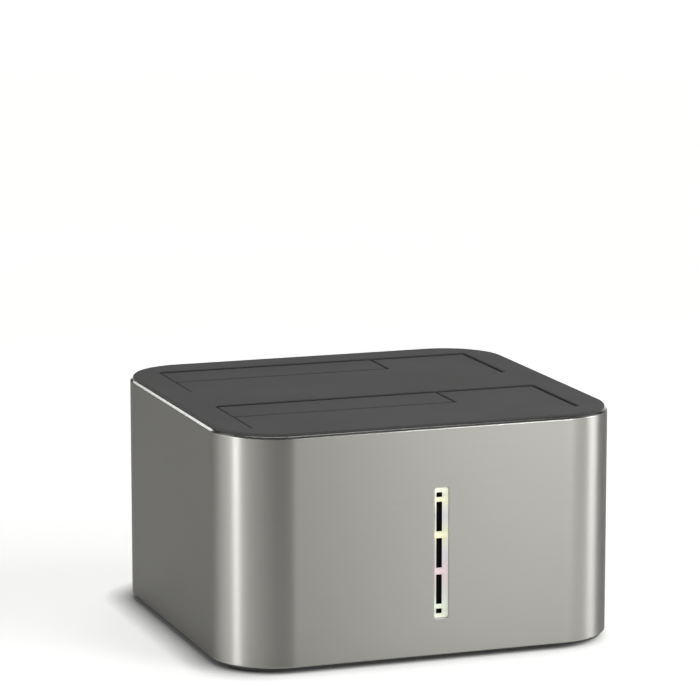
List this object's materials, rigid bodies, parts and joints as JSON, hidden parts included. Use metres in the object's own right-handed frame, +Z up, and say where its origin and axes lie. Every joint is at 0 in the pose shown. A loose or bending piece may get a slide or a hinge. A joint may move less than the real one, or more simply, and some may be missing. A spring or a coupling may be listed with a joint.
{
  "type": "hard drive docking station",
  "caption": "Rounded metal dock that holds bare drives upright in bays closed by sprung flaps, with status lights on the front and ports at the back",
  "frame": {"origin": "on the table, under the middle of the sleeve", "axes": "+X to the right seen from the front, +Y to the back, +Z up"},
  "size_m": [0.125, 0.12, 0.0718],
  "materials": {
    "sleeve": "satin",
    "cover": "fine grain",
    "inner": "moulded",
    "rubber": "matt",
    "steel": "turned",
    "screw": "zinc plated",
    "spring": "drawn wire",
    "board": "coated",
    "contact": "plated",
    "package": "moulded",
    "can": "drawn",
    "light": "lens",
    "guide": "frosted",
    "mask": "smooth",
    "button": "fine grain"
  },
  "bodies": {
    "housing": {"outer_shell": "sleeve", "top_cover": "cover", "base_plate": "inner", "front_bay_well": "inner", "rear_bay_well": "inner", "front_drive_socket": "inner", "rear_drive_socket": "inner", "board_header": "inner", "light_header": "inner", "rear_panel": "inner", "power_inlet": "inner", "data_tongue": "inner", "rubber_feet": "rubber", "tie_posts": "steel", "front_large_pin": "steel", "front_small_pin": "steel", "rear_large_pin": "steel", "rear_small_pin": "steel", "inlet_pin": "steel", "data_socket": "steel", "crystal": "steel", "base_screws": "screw", "well_screws": "screw", "connector_screws": "screw", "main_screws": "screw", "front_large_spring": "spring", "front_small_spring": "spring", "rear_large_spring": "spring", "rear_small_spring": "spring", "connector_board": "board", "main_board": "board", "light_board": "board", "front_contacts": "contact", "rear_contacts": "contact", "bridge_chip": "package", "copy_chip": "package", "memory_chip": "package", "power_coils": "package", "power_switch": "package", "copy_switch": "package", "capacitors": "can", "status_lights": "light", "light_guide": "guide", "light_mask": "mask"},
    "front_large_flap": {"front_large_flap": "cover"},
    "front_small_flap": {"front_small_flap": "cover"},
    "rear_large_flap": {"rear_large_flap": "cover"},
    "rear_small_flap": {"rear_small_flap": "cover"},
    "power_button": {"power_button": "button"},
    "copy_button": {"copy_button": "button"}
  },
  "joints": [
    {"name": "front_large_flap_hinge", "type": "hinge", "parent": "housing", "child": "front_large_flap", "pos_m": [0, -0.05, 0.067], "axis": [-1, 0, 0], "range_deg": [0, 88], "stiffness_Nm_per_rad": 0.006, "springref_deg": -57.3, "deforming": ["front_large_spring"]},
    {"name": "front_small_flap_hinge", "type": "hinge", "parent": "housing", "child": "front_small_flap", "pos_m": [0, -0.009, 0.067], "axis": [1, 0, 0], "range_deg": [0, 88], "stiffness_Nm_per_rad": 0.002, "springref_deg": -45.84, "deforming": ["front_small_spring"]},
    {"name": "rear_large_flap_hinge", "type": "hinge", "parent": "housing", "child": "rear_large_flap", "pos_m": [0, 0.009, 0.067], "axis": [-1, 0, 0], "range_deg": [0, 88], "stiffness_Nm_per_rad": 0.006, "springref_deg": -57.3, "deforming": ["rear_large_spring"]},
    {"name": "rear_small_flap_hinge", "type": "hinge", "parent": "housing", "child": "rear_small_flap", "pos_m": [0, 0.05, 0.067], "axis": [1, 0, 0], "range_deg": [0, 88], "stiffness_Nm_per_rad": 0.002, "springref_deg": -45.84, "deforming": ["rear_small_spring"]},
    {"name": "power_button_press", "type": "slide", "parent": "housing", "child": "power_button", "axis": [0, -1, 0], "range_m": [0, 0.0012], "stiffness_N_per_m": 400, "springref_m": -0.001},
    {"name": "copy_button_press", "type": "slide", "parent": "housing", "child": "copy_button", "axis": [0, -1, 0], "range_m": [0, 0.0012], "stiffness_N_per_m": 400, "springref_m": -0.001}
  ]
}
